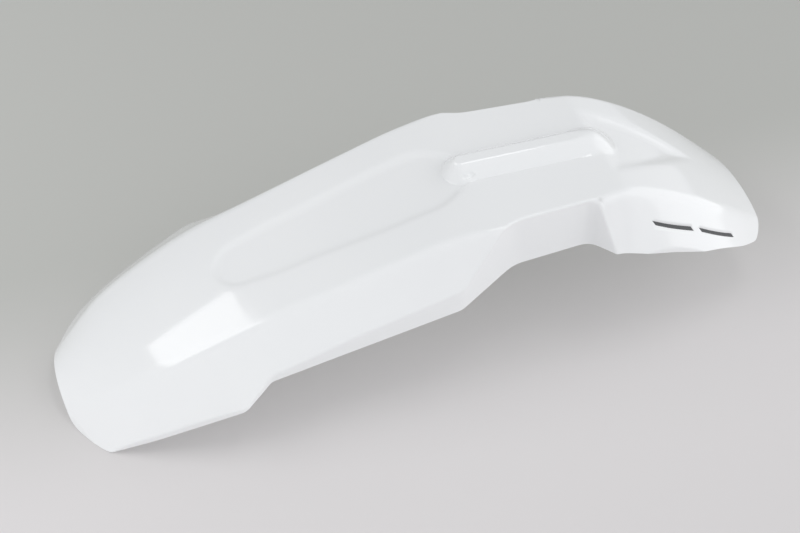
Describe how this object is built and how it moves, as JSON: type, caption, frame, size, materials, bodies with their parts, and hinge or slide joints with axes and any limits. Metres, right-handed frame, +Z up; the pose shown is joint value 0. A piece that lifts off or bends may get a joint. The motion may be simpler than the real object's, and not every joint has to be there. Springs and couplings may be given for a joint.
{
  "type": "motorcycle front mudguard",
  "caption": "High front mudguard for an off-road motorcycle: thin moulded shell with drooping nose, raised spine, long hollow, fork-leg scallops and a slotted tail.",
  "frame": {"origin": "centre of the four mounting bolts, on the plane of the boss mouths under the deck", "axes": "+X forward to the nose, +Y to the rider's left, +Z up out of the deck along the steering axis"},
  "size_m": [0.7268, 0.258, 0.1872],
  "materials": {
    "white_plastic": "gloss"
  },
  "bodies": {
    "root": {"mudguard_shell": "white_plastic"}
  },
  "joints": []
}
